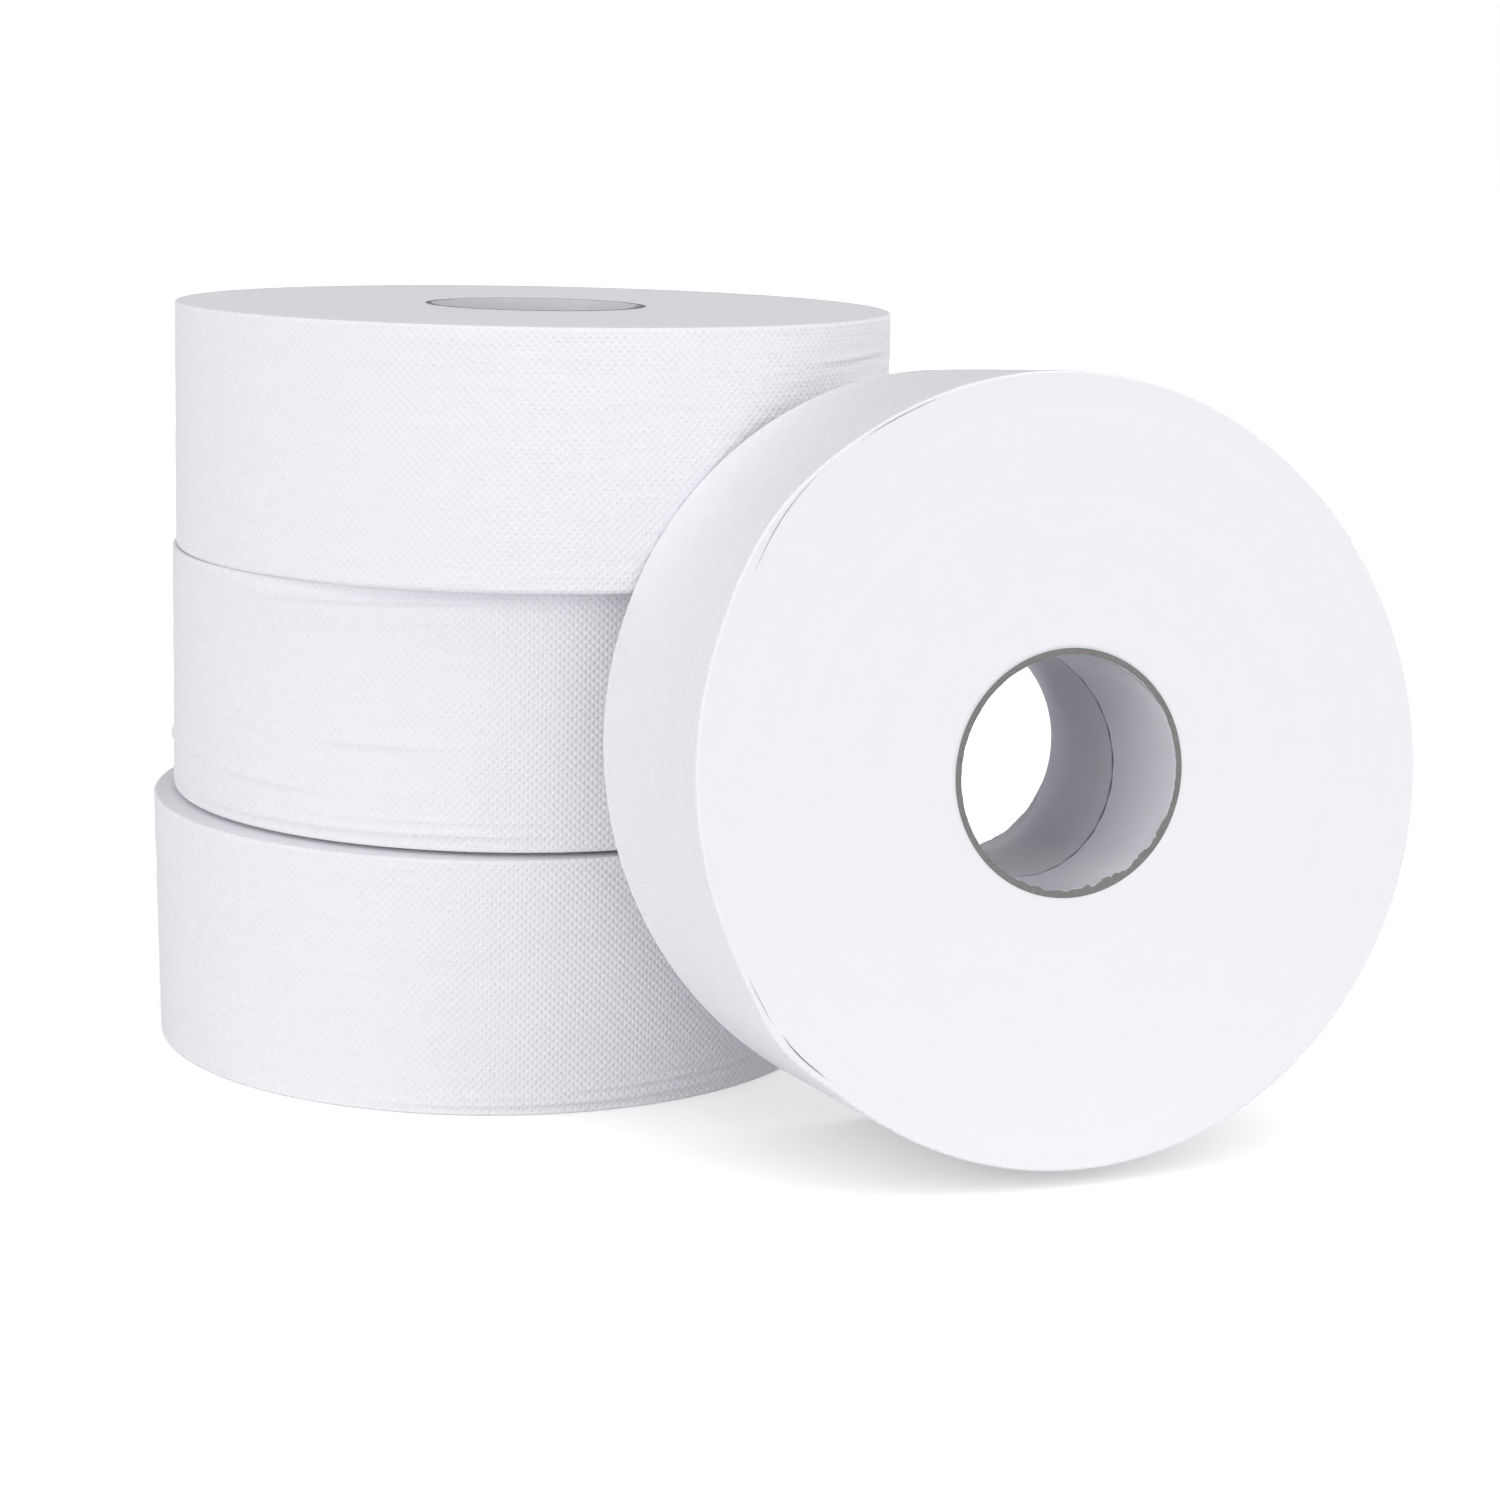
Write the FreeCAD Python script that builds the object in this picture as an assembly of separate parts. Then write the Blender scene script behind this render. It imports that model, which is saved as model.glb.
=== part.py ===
# A pack of four jumbo toilet paper rolls: three stacked flat and one standing on its rim,
# turned and leaning back on the stack. Each roll is wound tissue on a cardboard core.
# Millimetres, +Z up. The origin is on the floor, on the axis of the bottom roll's core.
import FreeCAD, Part
import math
import os

from FreeCAD import Placement, Rotation, Vector

# Cardboard cores, alike in all four rolls
CORE_BORE = 76.0
CORE_WALL = 2.0
SEAM_PITCH = 77.0
SEAM_WIDTH = 0.8
SEAM_DEPTH = 0.35

# Angle at which each core's seam starts from its low end
BOTTOM_SEAM_DEG = 200.0
MIDDLE_SEAM_DEG = 90.0
TOP_SEAM_DEG = 310.0
STANDING_SEAM_DEG = 204.0

# Width of each roll, as cut from its log
BOTTOM_WIDTH = 90.5
MIDDLE_WIDTH = 90.5
TOP_WIDTH = 88.5
STANDING_WIDTH = 90.0

# Mean outer radius of the wound tissue. The bottom roll is squeezed in at its foot
BOTTOM_RADIUS = 126.5
BOTTOM_FOOT_RADIUS = 124.2
MIDDLE_RADIUS = 127.4
TOP_RADIUS = 129.0
STANDING_RADIUS = 127.7

# Where the axes of the upper rolls lie over the bottom one
MIDDLE_X = 6.9
MIDDLE_Y = 6.2
TOP_X = 12.3
TOP_Y = -7.3

# The standing roll: turned to the viewer's right, leaning back, and how far it stands to the
# side of the stack's axis, measured across its face
STANDING_TURN_DEG = 17.7
STANDING_LEAN_DEG = 4.5
STANDING_ACROSS = 119.2
LEAN_GAP = 0.3
FLAT_SPOT_DEPTH = 0.7
SEAT_TRIES = 12
SEAT_ERROR = 0.01

# Angle at which the outermost turn of each roll ends
BOTTOM_TAIL_DEG = 75.0
MIDDLE_TAIL_DEG = 120.0
TOP_TAIL_DEG = 60.0
STANDING_TAIL_DEG = 35.0

# The standing roll is soft and out of round
OVAL_RISE = 2.4
OVAL_AT_DEG = -53.0
OFF_CENTRE = 0.8
OFF_CENTRE_AT_DEG = -49.0
BULGE_RISE = 2.0
BULGE_AT_DEG = 139.0
BULGE_SPAN_DEG = 13.0

# Soft edges of the wound tissue, the share of a rim's rounding at its middle section, where the
# side bellies out most, and the step where the sheet ends on the outside
RIM_ROUND = 1.8
RIM_MIDDLE = 0.3
BELLY_AT = 0.6
SHEET_STEP = 0.5
STACK_OVAL_RISE = 0.5
BOTTOM_OVAL_AT_DEG = 20.0
MIDDLE_OVAL_AT_DEG = 80.0
TOP_OVAL_AT_DEG = 0.0
OUTLINE_POINTS = 36

# Rings where a few turns sit deeper in a roll's end face, as shares of the wound thickness
RING_SHARES = (0.2, 0.56, 0.87)
RING_WIDTH = 1.6
RING_DEPTH = 0.45

# Gaps behind the loose outermost turn, at the left of the standing roll's front face
LOOSE_GAPS_DEG = ((110.0, 124.0), (128.0, 148.0), (207.0, 217.0), (218.0, 228.0))
LOOSE_TURN = 2.2
LOOSE_GAP = 0.9
LOOSE_DEPTH = 4.0

# Creases pressed out of the side of a roll: height over its base, middle angle, half span
# and slope in degrees
MIDDLE_CREASES = (
    (85.0, -112.0, 34.0, 2.4),
    (20.5, -163.0, 20.0, 0.6),
    (18.5, -132.0, 17.0, -0.8),
    (36.0, -110.0, 15.0, 0.9),
    (6.5, -118.0, 42.0, 0.5),
)
TOP_CREASES = (
    (76.0, -28.0, 17.0, 1.6),
    (67.0, -20.0, 14.0, -1.2),
)
BOTTOM_CREASES = (
    (4.2, -78.0, 36.0, 0.4),
    (9.0, -62.0, 28.0, 1.1),
)
CREASE_RISE = 0.7
CREASE_SPREAD = 2.6
CREASE_ROOT = 4 * CREASE_SPREAD
CREASE_TIP = CREASE_SPREAD / 4

CORE_RADIUS = CORE_BORE / 2 + CORE_WALL


def outline_radius(angle, radius, shape, bulge_share):
    """Radius of a roll's outline at an angle: a spiral turn on a slightly soft circle."""
    r = radius - shape["step"] * ((angle - shape["tail"]) / math.tau)
    r += shape["oval"] * math.cos(2 * (angle - shape["oval_at"]))
    r += shape["off"] * math.cos(angle - shape["off_at"])
    away = math.remainder(angle - shape["bulge_at"], math.tau) / shape["bulge_span"]
    return r + bulge_share * shape["bulge"] * math.exp(-away * away)


def outline(radius, shape, z, inset=0.0, bulge_share=0.0):
    """Closed wire of one section: the outermost turn, and the step at the sheet's end."""
    points = []
    for i in range(OUTLINE_POINTS + 1):
        angle = shape["tail"] + math.tau * i / OUTLINE_POINTS
        r = outline_radius(angle, radius, shape, bulge_share) - inset
        points.append(Vector(r * math.cos(angle), r * math.sin(angle), z))
    turn = Part.BSplineCurve()
    turn.interpolate(points)
    step = Part.LineSegment(points[-1], points[0])
    return Part.Wire([turn.toShape(), step.toShape()])


def tube(outer, inner, low, high):
    """Plain ring about Z between two heights."""
    length = high - low
    ring = Part.makeCylinder(outer, length, Vector(0, 0, low))
    return ring.cut(Part.makeCylinder(inner, length, Vector(0, 0, low)))


def wound_tissue(width, foot_radius, top_radius, shape):
    """The wound paper of one roll, standing on z=0, with soft rims and the core's hole."""
    sections = (
        (0.0, foot_radius, RIM_ROUND, 0.0),
        (RIM_MIDDLE * RIM_ROUND, foot_radius, RIM_MIDDLE * RIM_ROUND, 0.0),
        (RIM_ROUND, foot_radius, 0.0, 0.0),
        (BELLY_AT * width, (foot_radius + 2 * top_radius) / 3, 0.0, 0.0),
        (width - RIM_ROUND, top_radius, 0.0, 1.0),
        (width - RIM_MIDDLE * RIM_ROUND, top_radius, RIM_MIDDLE * RIM_ROUND, 1.0),
        (width, top_radius, RIM_ROUND, 1.0),
    )
    wires = [outline(r, shape, z, inset, bulge) for z, r, inset, bulge in sections]
    body = Part.makeLoft(wires, True, True)
    return body.cut(Part.makeCylinder(CORE_RADIUS, width + 2, Vector(0, 0, -1)))


def ring_radii(radius):
    return [CORE_RADIUS + share * (radius - CORE_RADIUS) for share in RING_SHARES]


def sunk_rings(body, radius, face_z, inwards):
    """Let a few turns sit deeper in the end face at face_z; inwards is +1 or -1 along Z."""
    low, high = sorted((face_z - inwards, face_z + inwards * RING_DEPTH))
    for r in ring_radii(radius):
        body = body.cut(tube(r + RING_WIDTH / 2, r - RING_WIDTH / 2, low, high))
    return body


def crease(radius, height, middle_deg, half_span_deg, slope_deg):
    """A sharp-edged disc that reaches out of the roll's side only along one crease."""
    shift = CREASE_RISE / (1 - math.cos(math.radians(half_span_deg)))
    edge = radius + CREASE_RISE - shift
    inner = edge - CREASE_ROOT
    profile = Part.makePolygon([
        Vector(inner, 0, -CREASE_TIP),
        Vector(edge - 2 * CREASE_RISE, 0, -CREASE_SPREAD),
        Vector(edge, 0, 0),
        Vector(edge - 2 * CREASE_RISE, 0, CREASE_SPREAD),
        Vector(inner, 0, CREASE_TIP),
        Vector(inner, 0, -CREASE_TIP),
    ])
    disc = Part.Face(profile).revolve(Vector(0, 0, 0), Vector(0, 0, 1), 360)
    disc.translate(Vector(shift, 0, 0))
    disc.rotate(Vector(radius, 0, 0), Vector(1, 0, 0), slope_deg)
    disc.rotate(Vector(0, 0, 0), Vector(0, 0, 1), middle_deg)
    disc.translate(Vector(0, 0, height))
    return disc


def creased(body, radius, width, creases):
    """Add the creases to a roll's side and keep them inside its width."""
    slab = tube(radius + CREASE_ROOT, CORE_RADIUS, 0, width)
    for height, middle, half_span, slope in creases:
        ridge = crease(radius, height, middle, half_span, slope)
        body = body.fuse(ridge.common(slab))
    return body.removeSplitter()


def core_tube(length, seam_at_deg):
    """Spiral-wound cardboard tube with the seam of its inner ply as a shallow groove."""
    body = tube(CORE_RADIUS, CORE_BORE / 2, 0, length)
    start = CORE_BORE / 2
    run = length + 2 * SEAM_WIDTH
    path = Part.Wire(Part.makeHelix(SEAM_PITCH, run, start, 0, True))
    profile = Part.makePolygon([
        Vector(start - SEAM_DEPTH, 0, -SEAM_WIDTH),
        Vector(start + SEAM_DEPTH, 0, 0),
        Vector(start - SEAM_DEPTH, 0, SEAM_WIDTH),
        Vector(start - SEAM_DEPTH, 0, -SEAM_WIDTH),
    ])
    seam = path.makePipeShell([profile], True, True)
    seam.translate(Vector(0, 0, -SEAM_WIDTH))
    seam.rotate(Vector(0, 0, 0), Vector(0, 0, 1), seam_at_deg)
    return body.cut(seam)


def roll_shape(tail_deg, oval_at_deg=0.0):
    """How the outline of a stacked roll departs from a circle."""
    return {
        "tail": math.radians(tail_deg),
        "step": SHEET_STEP,
        "oval": STACK_OVAL_RISE,
        "oval_at": math.radians(oval_at_deg),
        "off": 0.0,
        "off_at": 0.0,
        "bulge": 0.0,
        "bulge_at": 0.0,
        "bulge_span": 1.0,
    }


def bottom_roll():
    shape = roll_shape(BOTTOM_TAIL_DEG, BOTTOM_OVAL_AT_DEG)
    paper = wound_tissue(BOTTOM_WIDTH, BOTTOM_FOOT_RADIUS, BOTTOM_RADIUS, shape)
    paper = creased(paper, BOTTOM_FOOT_RADIUS, BOTTOM_WIDTH, BOTTOM_CREASES)
    return paper, core_tube(BOTTOM_WIDTH, BOTTOM_SEAM_DEG)


def middle_roll():
    shape = roll_shape(MIDDLE_TAIL_DEG, MIDDLE_OVAL_AT_DEG)
    paper = wound_tissue(MIDDLE_WIDTH, MIDDLE_RADIUS, MIDDLE_RADIUS, shape)
    paper = creased(paper, MIDDLE_RADIUS, MIDDLE_WIDTH, MIDDLE_CREASES)
    return paper, core_tube(MIDDLE_WIDTH, MIDDLE_SEAM_DEG)


def top_roll():
    shape = roll_shape(TOP_TAIL_DEG, TOP_OVAL_AT_DEG)
    paper = wound_tissue(TOP_WIDTH, TOP_RADIUS, TOP_RADIUS, shape)
    paper = creased(paper, TOP_RADIUS, TOP_WIDTH, TOP_CREASES)
    paper = sunk_rings(paper, TOP_RADIUS, TOP_WIDTH, -1)
    return paper, core_tube(TOP_WIDTH, TOP_SEAM_DEG)


def standing_roll():
    """The fourth roll in its own frame: back face on z=0, front face up, X to the right."""
    shape = roll_shape(STANDING_TAIL_DEG)
    shape.update({
        "oval": OVAL_RISE,
        "oval_at": math.radians(OVAL_AT_DEG),
        "off": OFF_CENTRE,
        "off_at": math.radians(OFF_CENTRE_AT_DEG),
        "bulge": BULGE_RISE,
        "bulge_at": math.radians(BULGE_AT_DEG),
        "bulge_span": math.radians(BULGE_SPAN_DEG),
    })
    paper = wound_tissue(STANDING_WIDTH, STANDING_RADIUS, STANDING_RADIUS, shape)
    paper = sunk_rings(paper, STANDING_RADIUS, STANDING_WIDTH, -1)
    paper = sunk_rings(paper, STANDING_RADIUS, 0.0, 1)
    for start_deg, end_deg in LOOSE_GAPS_DEG:
        middle = math.radians((start_deg + end_deg) / 2)
        outer = outline_radius(middle, STANDING_RADIUS, shape, 1.0) - LOOSE_TURN
        height = 2 * LOOSE_DEPTH
        slot = Part.makeCylinder(outer, height, Vector(0, 0, 0), Vector(0, 0, 1), end_deg - start_deg)
        slot = slot.cut(Part.makeCylinder(outer - LOOSE_GAP, height))
        slot.rotate(Vector(0, 0, 0), Vector(0, 0, 1), start_deg)
        slot.translate(Vector(0, 0, STANDING_WIDTH - LOOSE_DEPTH))
        paper = paper.cut(slot)
    return paper, core_tube(STANDING_WIDTH, STANDING_SEAM_DEG)


def moved(shapes, placement):
    result = []
    for shape in shapes:
        copy = shape.copy()
        copy.Placement = placement.multiply(copy.Placement)
        result.append(copy)
    return result


def above_floor(shape):
    """The shape without what the floor presses flat."""
    box = shape.BoundBox
    reach = 2 * max(box.XLength, box.YLength)
    corner = Vector(box.Center.x - reach / 2, box.Center.y - reach / 2, -reach)
    return shape.cut(Part.makeBox(reach, reach, reach, corner))


def lean_on(stack, paper, core):
    """Stand the fourth roll on the floor and slide it back until it meets the stack."""
    turn = math.radians(STANDING_TURN_DEG)
    lean = math.radians(STANDING_LEAN_DEG)
    right = Vector(math.cos(turn), math.sin(turn), 0)
    forward = Vector(math.sin(turn), -math.cos(turn), 0)
    front = forward * math.cos(lean) + Vector(0, 0, math.sin(lean))
    upright = Rotation(right, front.cross(right), front, "ZXY")
    lowest = paper.copy()
    lowest.Placement = Placement(Vector(0, 0, 0), upright)
    lift = -lowest.optimalBoundingBox(False).ZMin - FLAT_SPOT_DEPTH
    widest = max(BOTTOM_RADIUS, MIDDLE_RADIUS, TOP_RADIUS) + abs(MIDDLE_Y) + abs(TOP_Y)
    out = widest + STANDING_WIDTH
    for _ in range(SEAT_TRIES):
        base = right * STANDING_ACROSS + forward * out + Vector(0, 0, lift)
        placed = moved([paper], Placement(base, upright))[0]
        gap = stack.distToShape(placed)[0]
        if abs(gap - LEAN_GAP) < SEAT_ERROR:
            break
        out -= gap - LEAN_GAP
    paper, core = moved([paper, core], Placement(base, upright))
    return above_floor(paper), core


def build():
    bottom = bottom_roll()
    middle = moved(middle_roll(), Placement(Vector(MIDDLE_X, MIDDLE_Y, BOTTOM_WIDTH), Rotation()))
    top_z = BOTTOM_WIDTH + MIDDLE_WIDTH
    top = moved(top_roll(), Placement(Vector(TOP_X, TOP_Y, top_z), Rotation()))
    stack = Part.makeCompound([bottom[0], middle[0], top[0]])
    standing = lean_on(stack, *standing_roll())
    nodes = {}
    for name, pieces in (("bottom", bottom), ("middle", middle), ("top", top), ("standing", standing)):
        nodes[name + "_roll_paper"] = pieces[0]
        nodes[name + "_roll_core"] = pieces[1]
    return nodes


os.makedirs("parts", exist_ok=True)
for node, solid in build().items():
    if solid.ShapeType != "Solid":
        solid = solid.Solids[0]
    solid.exportStep("parts/" + node + ".step")
    box = solid.optimalBoundingBox(False)
    print(node, solid.isValid(), round(solid.Volume / 1000, 1), "cm3",
          [round(v, 2) for v in (box.XMin, box.XMax, box.YMin, box.YMax, box.ZMin, box.ZMax)])
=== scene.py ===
import math

import bpy
import numpy as np
from mathutils import Matrix, Vector


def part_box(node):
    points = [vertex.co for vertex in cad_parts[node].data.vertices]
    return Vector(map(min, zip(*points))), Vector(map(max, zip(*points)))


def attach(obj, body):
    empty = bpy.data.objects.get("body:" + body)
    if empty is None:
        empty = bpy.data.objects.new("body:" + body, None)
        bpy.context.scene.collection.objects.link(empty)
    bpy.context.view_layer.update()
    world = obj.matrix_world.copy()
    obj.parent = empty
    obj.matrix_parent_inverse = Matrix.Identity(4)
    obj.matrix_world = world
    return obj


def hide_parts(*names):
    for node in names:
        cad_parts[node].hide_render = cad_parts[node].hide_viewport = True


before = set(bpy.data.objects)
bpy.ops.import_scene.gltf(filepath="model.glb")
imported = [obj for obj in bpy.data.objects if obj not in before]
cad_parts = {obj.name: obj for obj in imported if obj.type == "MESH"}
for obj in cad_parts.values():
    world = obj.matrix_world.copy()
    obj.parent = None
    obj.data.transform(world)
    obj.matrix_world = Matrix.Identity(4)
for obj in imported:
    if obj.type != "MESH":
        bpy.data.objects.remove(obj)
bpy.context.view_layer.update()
scene = bpy.context.scene


# The view: the pack is seen from its front, a little from above, through a long lens.
# The camera's place is in metres, its turns are in degrees, and its lens and middle are
# in pixels of the photograph.
PHOTO_SIDE = 1500
LENS_PIXELS = 3171.0
MIDDLE_PIXEL = (740.0, 640.0)
CAMERA_PLACE = Vector((0.0224, -1.1674, 0.3362))
CAMERA_YAW = math.radians(3.306)
CAMERA_PITCH = math.radians(9.263)
CAMERA_ROLL = math.radians(1.261)


def aim_camera():
    """Place the camera and give it the photograph's lens and framing."""
    camera = bpy.data.objects.new("camera", bpy.data.cameras.new("camera"))
    scene.collection.objects.link(camera)
    ahead = Vector((
        math.sin(CAMERA_YAW) * math.cos(CAMERA_PITCH),
        math.cos(CAMERA_YAW) * math.cos(CAMERA_PITCH),
        -math.sin(CAMERA_PITCH),
    ))
    level = Vector((math.cos(CAMERA_YAW), -math.sin(CAMERA_YAW), 0.0))
    across = Matrix.Rotation(-CAMERA_ROLL, 3, ahead) @ level
    upward = across.cross(ahead)
    turned = Matrix((across, upward, -ahead)).transposed().to_4x4()
    camera.matrix_world = Matrix.Translation(CAMERA_PLACE) @ turned
    camera.data.sensor_width = 36.0
    camera.data.lens = LENS_PIXELS * camera.data.sensor_width / PHOTO_SIDE
    camera.data.shift_x = 0.5 - MIDDLE_PIXEL[0] / PHOTO_SIDE
    camera.data.shift_y = MIDDLE_PIXEL[1] / PHOTO_SIDE - 0.5
    camera.data.clip_end = 50.0
    scene.camera = camera


aim_camera()


# The studio: a pale floor that runs out of sight, a white surround, and five broad lamps: low
# ones at the left of the camera, beside it and at the pack's right, a high one at the right
# and one overhead. The surround and the floor look white, and the light stays plain.
FLOOR_SIZE = 40.0
LAMP_SPREAD = 50.0
FLOOR_COLOUR = (0.90, 0.90, 0.91, 1.0)
FLOOR_LIFT = 0.64
CONTACT_REACH = 0.09
CONTACT_SHARE = 0.42
SURROUND_COLOUR = (0.93, 0.95, 1.0, 1.0)
SURROUND_LEVEL = 0.325
LAMP_COLOUR = (1.0, 0.995, 0.985)


def seen_directly(nodes, links):
    """A value that is 1 for rays from the camera, in gloss or through glass, and else 0."""
    path = nodes.new("ShaderNodeLightPath")
    total = None
    for kind in ("Is Camera Ray", "Is Glossy Ray", "Is Transmission Ray"):
        if total is None:
            total = path.outputs[kind]
            continue
        add = nodes.new("ShaderNodeMath")
        add.operation = "ADD"
        add.use_clamp = True
        links.new(total, add.inputs[0])
        links.new(path.outputs[kind], add.inputs[1])
        total = add.outputs[0]
    return total


def surround():
    """A white world whose light on the pack is set apart from how it looks."""
    world = bpy.data.worlds.new("surround")
    world.use_nodes = True
    nodes, links = world.node_tree.nodes, world.node_tree.links
    nodes.clear()
    light = nodes.new("ShaderNodeBackground")
    light.inputs["Color"].default_value = SURROUND_COLOUR
    light.inputs["Strength"].default_value = SURROUND_LEVEL
    white = nodes.new("ShaderNodeBackground")
    white.inputs["Color"].default_value = (1.0, 1.0, 1.0, 1.0)
    white.inputs["Strength"].default_value = 1.0
    mix = nodes.new("ShaderNodeMixShader")
    links.new(seen_directly(nodes, links), mix.inputs[0])
    links.new(light.outputs[0], mix.inputs[1])
    links.new(white.outputs[0], mix.inputs[2])
    output = nodes.new("ShaderNodeOutputWorld")
    links.new(mix.outputs[0], output.inputs["Surface"])
    scene.world = world


def pale_floor():
    """The floor. What the camera sees of it is lifted to white, apart from a soft shade
    where something stands on it or close over it."""
    half = FLOOR_SIZE / 2
    mesh = bpy.data.meshes.new("floor")
    corners = [(-half, -half, 0.0), (half, -half, 0.0), (half, half, 0.0), (-half, half, 0.0)]
    mesh.from_pydata(corners, [], [(0, 1, 2, 3)])
    floor = bpy.data.objects.new("floor", mesh)
    scene.collection.objects.link(floor)
    material = bpy.data.materials.new("pale_floor")
    material.use_nodes = True
    nodes, links = material.node_tree.nodes, material.node_tree.links
    nodes.clear()
    seen = seen_directly(nodes, links)
    near = nodes.new("ShaderNodeAmbientOcclusion")
    near.inputs["Distance"].default_value = CONTACT_REACH
    share = nodes.new("ShaderNodeMath")
    share.operation = "MULTIPLY"
    share.inputs[1].default_value = CONTACT_SHARE
    links.new(seen, share.inputs[0])
    contact = nodes.new("ShaderNodeMix")
    contact.data_type = "RGBA"
    contact.inputs[6].default_value = (1.0, 1.0, 1.0, 1.0)
    links.new(share.outputs[0], contact.inputs[0])
    links.new(near.outputs["Color"], contact.inputs[7])
    tint = nodes.new("ShaderNodeMix")
    tint.data_type = "RGBA"
    tint.blend_type = "MULTIPLY"
    tint.inputs[0].default_value = 1.0
    tint.inputs[6].default_value = FLOOR_COLOUR
    links.new(contact.outputs[2], tint.inputs[7])
    matt = nodes.new("ShaderNodeBsdfDiffuse")
    links.new(tint.outputs[2], matt.inputs["Color"])
    glow = nodes.new("ShaderNodeEmission")
    links.new(contact.outputs[2], glow.inputs["Color"])
    level = nodes.new("ShaderNodeMath")
    level.operation = "MULTIPLY"
    level.inputs[1].default_value = FLOOR_LIFT
    links.new(seen, level.inputs[0])
    links.new(level.outputs[0], glow.inputs["Strength"])
    add = nodes.new("ShaderNodeAddShader")
    links.new(matt.outputs[0], add.inputs[0])
    links.new(glow.outputs[0], add.inputs[1])
    output = nodes.new("ShaderNodeOutputMaterial")
    links.new(add.outputs[0], output.inputs["Surface"])
    mesh.materials.append(material)


def soft_lamp(name, azimuth_deg, height_deg, strength):
    """A far, broad lamp in the direction azimuth (from +X towards +Y) and height."""
    lamp = bpy.data.lights.new(name, "SUN")
    lamp.energy = strength
    lamp.angle = math.radians(LAMP_SPREAD)
    lamp.color = LAMP_COLOUR
    holder = bpy.data.objects.new(name, lamp)
    azimuth, height = math.radians(azimuth_deg), math.radians(height_deg)
    towards = Vector((
        math.cos(azimuth) * math.cos(height),
        math.sin(azimuth) * math.cos(height),
        math.sin(height),
    ))
    holder.rotation_mode = "QUATERNION"
    holder.rotation_quaternion = towards.to_track_quat("Z", "Y")
    scene.collection.objects.link(holder)


surround()
pale_floor()
soft_lamp("left_lamp", -135.0, 8.0, 1.72)
soft_lamp("front_lamp", -95.0, 8.0, 0.29)
soft_lamp("right_lamp", -10.0, 8.0, 0.98)
soft_lamp("high_lamp", -40.0, 38.0, 0.70)
soft_lamp("top_lamp", -90.0, 80.0, 0.48)
scene.view_settings.view_transform = "Standard"


# The cores: each roll is wound on a tube of two grey plies of cardboard, wound in a spiral and
# cut with a saw, so the inner ply's seam runs round the bore as a helix and the cut ends are
# darker, a little ragged, with burrs turned into the bore.
CORE_BORE = 0.0380
CORE_WALL = 0.0020
SEAM_PITCH = 0.048
SEAM_WIDTH = 0.0006
SEAM_DEPTH = 0.0003
BURR_REACH = 0.0015
BURR_LENGTH = 0.0035
BURR_EVERYWHERE = 0.12
BURR_AT_FOOT = 0.3
TEETH_ROUND = 10.0
SHUTTING_LENGTH = 0.008
COLUMNS_TO_SEAM = 0.7
ROWS_TO_MOUTHS = 0.135
SEAM_HIGHLIGHT_AT = 1.9
SHARP_EDGE = math.radians(50.0)
MOUTH_EDGE = 0.0018
PLIES_PER_METRE = 1400.0
MARK_RADIUS = 0.02
WELD = 0.00001
LINER_COLOUR = (0.80, 0.80, 0.85, 1.0)
CUT_COLOUR = (0.33, 0.315, 0.315, 1.0)
CUT_SHADE = (0.13, 0.12, 0.12, 1.0)
SEAM_COLOUR = (0.08, 0.08, 0.10, 1.0)
PALE_BANDS_COLOUR = (0.86, 0.86, 0.90, 1.0)
BOARD_DARK_AND_SHADE = (0.48, 0.48, 0.50, 1.0)


class Formula:
    """A value in a node tree, so that what is worked out from sockets reads as arithmetic."""

    def __init__(self, tree, socket):
        self.tree = tree
        self.socket = socket

    def math(self, operation, *others):
        node = self.tree.nodes.new("ShaderNodeMath")
        node.operation = operation
        for place, value in zip(node.inputs, (self, *others)):
            if isinstance(value, Formula):
                self.tree.links.new(value.socket, place)
            else:
                place.default_value = value
        return Formula(self.tree, node.outputs[0])

    def __add__(self, other):
        return self.math("ADD", other)

    def __radd__(self, other):
        return self.math("ADD", other)

    def __sub__(self, other):
        return self.math("SUBTRACT", other)

    def __rsub__(self, other):
        return self.math("MULTIPLY_ADD", -1.0, other)

    def __mul__(self, other):
        return self.math("MULTIPLY", other)

    def __rmul__(self, other):
        return self.math("MULTIPLY", other)

    def __truediv__(self, other):
        return self.math("DIVIDE", other)

    def __neg__(self):
        return self.math("MULTIPLY", -1.0)

    def between(self, low, high):
        return self.math("MAXIMUM", low).math("MINIMUM", high)

    def wrapped(self):
        """An angle brought to between minus half a turn and half a turn."""
        return self.math("WRAP", math.pi, -math.pi)

    def hill(self):
        """One at zero and falling away smoothly on both sides."""
        return (-(self * self)).math("EXPONENT")


def new_tree(name, kind, inputs, outputs):
    """A node group with named sockets, and its inputs as formulas."""
    tree = bpy.data.node_groups.new(name, kind)
    for label, socket_kind, default in inputs:
        kind_name = "NodeSocket" + socket_kind
        socket = tree.interface.new_socket(label, in_out="INPUT", socket_type=kind_name)
        if default is not None:
            socket.default_value = default
    for label, socket_kind in outputs:
        tree.interface.new_socket(label, in_out="OUTPUT", socket_type="NodeSocket" + socket_kind)
    given = tree.nodes.new("NodeGroupInput")
    return tree, {socket.name: Formula(tree, socket) for socket in given.outputs if socket.name}


def join_xyz(tree, x, y, z):
    node = tree.nodes.new("ShaderNodeCombineXYZ")
    for place, value in zip(node.inputs, (x, y, z)):
        if isinstance(value, Formula):
            tree.links.new(value.socket, place)
        else:
            place.default_value = value
    return Formula(tree, node.outputs[0])


def fixed(tree, number):
    """A plain number as a formula."""
    node = tree.nodes.new("ShaderNodeValue")
    node.outputs[0].default_value = number
    return Formula(tree, node.outputs[0])


def ring_place(tree, angle, radius, height):
    """A point on a ring round the axis, so that noise there closes on itself."""
    return join_xyz(tree, radius * angle.math("COSINE"), radius * angle.math("SINE"), height)


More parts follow.
